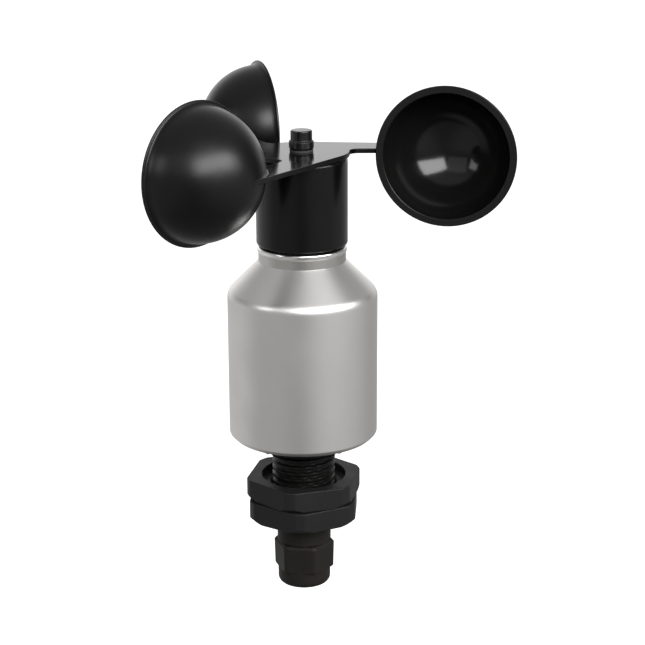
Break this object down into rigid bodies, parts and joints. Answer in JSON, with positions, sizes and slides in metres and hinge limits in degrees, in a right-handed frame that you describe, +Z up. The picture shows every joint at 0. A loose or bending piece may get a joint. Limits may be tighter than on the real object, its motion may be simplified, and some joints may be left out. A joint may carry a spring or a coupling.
{
  "type": "cup anemometer",
  "caption": "Cup anemometer: hemispherical cups on a star turn on a spindle over a round housing with a threaded mounting stem, hexagon nuts and a cable gland.",
  "frame": {"origin": "on the stem's axis, in the plane of the base collar's underside, where the mounting bracket's top face sits", "axes": "+Z up along the spindle; the first cup's arm points 13 degrees clockwise of +X seen from above; the frontal view looks along +Y"},
  "size_m": [0.1542, 0.1631, 0.2309],
  "materials": {
    "cup_plastic": "black ABS, satin to glossy",
    "knob_plastic": "black, glossy",
    "skirt_plastic": "black, satin",
    "housing_aluminium": "fine bead-blasted, clear anodised",
    "stem_plastic": "black glass-filled nylon",
    "nut_plastic": "black glass-filled nylon, matte",
    "gland_plastic": "black nylon, satin",
    "bearing_steel": "ground and polished",
    "spring_steel": "phosphated",
    "screw_steel": "stainless",
    "cage_plastic": "natural nylon",
    "disc_plastic": "black, satin",
    "sensor_plastic": "black",
    "brass": "turned, bright",
    "board_laminate": "green solder mask",
    "terminal_plastic": "green",
    "rubber": "black elastomer"
  },
  "bodies": {
    "housing": {"upper_outer_ring": "bearing_steel", "lower_outer_ring": "bearing_steel", "tube_circlip": "spring_steel", "bearing_tube": "housing_aluminium", "light_barrier": "sensor_plastic", "circuit_board": "board_laminate", "terminal_block": "terminal_plastic", "board_spacers": "brass", "board_screws": "screw_steel", "housing": "housing_aluminium", "base_plate": "housing_aluminium", "base_screws": "screw_steel", "base_gasket": "rubber", "threaded_stem": "stem_plastic", "stem_gasket": "rubber", "base_collar": "stem_plastic", "gland_body": "gland_plastic", "gland_seal": "rubber", "gland_claw": "gland_plastic"},
    "rotor": {"cup_star": "cup_plastic", "star_nut": "knob_plastic", "star_washer": "rubber", "rotor_skirt": "skirt_plastic", "spindle": "bearing_steel", "upper_inner_ring": "bearing_steel", "lower_inner_ring": "bearing_steel", "bearing_spacer": "housing_aluminium", "spindle_circlip": "spring_steel", "slotted_disc": "disc_plastic", "disc_hub": "brass", "hub_set_screw": "screw_steel"},
    "upper_cage": {"upper_balls": "bearing_steel", "upper_ball_cage": "cage_plastic"},
    "lower_cage": {"lower_balls": "bearing_steel", "lower_ball_cage": "cage_plastic"},
    "lower_nut": {"lower_nut": "nut_plastic"},
    "upper_nut": {"upper_nut": "nut_plastic"},
    "gland_nut": {"gland_nut": "gland_plastic"}
  },
  "joints": [
    {"name": "rotor_spin", "type": "hinge", "parent": "housing", "child": "rotor", "pos_m": [0, 0, 0.1], "axis": [0, 0, 1], "continuous": true},
    {"name": "upper_cage_spin", "type": "hinge", "parent": "housing", "child": "upper_cage", "pos_m": [0, 0, 0.1195], "axis": [0, 0, 1], "continuous": true},
    {"name": "lower_cage_spin", "type": "hinge", "parent": "housing", "child": "lower_cage", "pos_m": [0, 0, 0.0725], "axis": [0, 0, 1], "continuous": true},
    {"name": "lower_nut_travel", "type": "slide", "parent": "housing", "child": "lower_nut", "axis": [0, 0, 1], "range_m": [-0.065, 0]},
    {"name": "upper_nut_travel", "type": "slide", "parent": "lower_nut", "child": "upper_nut", "axis": [0, 0, 1], "range_m": [0, 0.0137]},
    {"name": "gland_nut_travel", "type": "slide", "parent": "housing", "child": "gland_nut", "axis": [0, 0, 1], "range_m": [-0.03, 0]}
  ],
  "couplings": [
    {"joint": "upper_cage_spin", "follows": "rotor_spin", "ratio": 0.3686},
    {"joint": "lower_cage_spin", "follows": "rotor_spin", "ratio": 0.3686}
  ]
}
